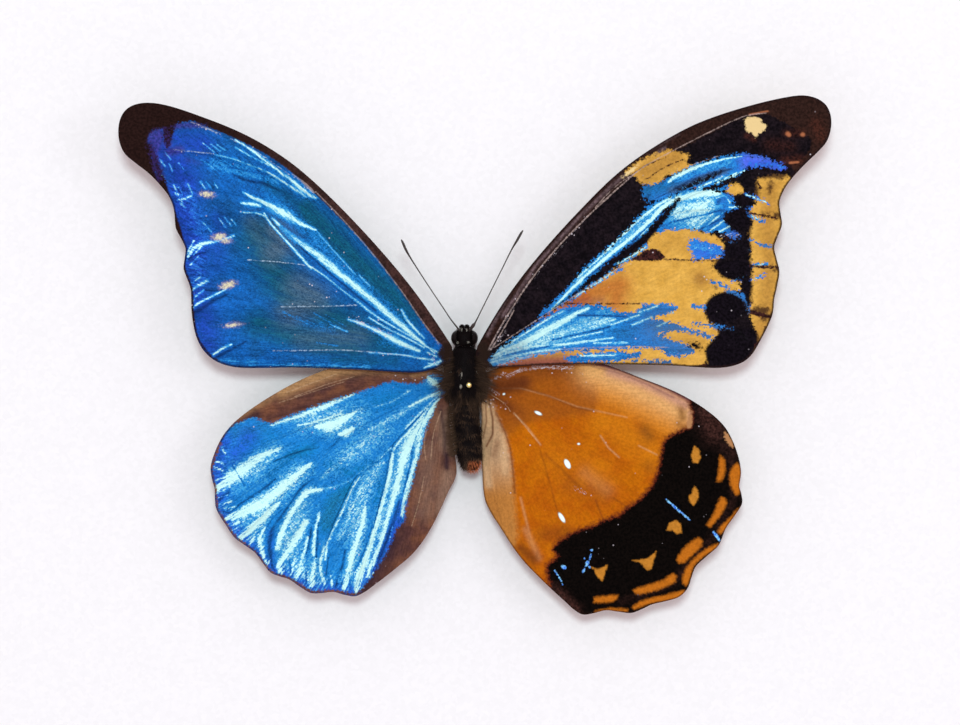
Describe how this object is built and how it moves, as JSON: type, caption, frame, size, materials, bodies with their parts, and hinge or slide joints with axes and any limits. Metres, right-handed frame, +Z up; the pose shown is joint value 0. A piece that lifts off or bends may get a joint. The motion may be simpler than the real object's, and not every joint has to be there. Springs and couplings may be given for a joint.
{
  "type": "pinned butterfly specimen",
  "caption": "Spread dry butterfly on a clipped pin, with blue wings on the left and orange and black wings on the right.",
  "frame": {"origin": "middle of the pin's flat foot, on the surface that the specimen stands on", "axes": "+X to the specimen's right, along the wingspan; +Y from the pin towards the head; +Z up, along the pin"},
  "size_m": [0.0854, 0.0623, 0.0092],
  "materials": {
    "blue_forewing": "metallic blue scales with a dark brown front edge and tip",
    "blue_hindwing": "metallic blue scales with brown front and inner margins",
    "orange_forewing": "matt ochre and black scales with metallic blue patches",
    "orange_hindwing": "matt orange scales with a black outer part and ochre spots",
    "fur": "dense dark brown fur",
    "eye": "glossy black",
    "leg": "dark brown, finely haired",
    "pin": "polished"
  },
  "bodies": {
    "root": {"thorax": "fur", "abdomen": "fur", "head": "fur", "left_eye": "eye", "right_eye": "eye", "left_palp": "fur", "right_palp": "fur", "tongue": "leg", "left_antenna": "leg", "right_antenna": "leg", "left_forewing": "blue_forewing", "right_forewing": "orange_forewing", "left_hindwing": "blue_hindwing", "right_hindwing": "orange_hindwing", "left_foreleg": "leg", "right_foreleg": "leg", "left_midleg": "leg", "right_midleg": "leg", "left_hindleg": "leg", "right_hindleg": "leg", "pin": "pin"}
  },
  "joints": []
}
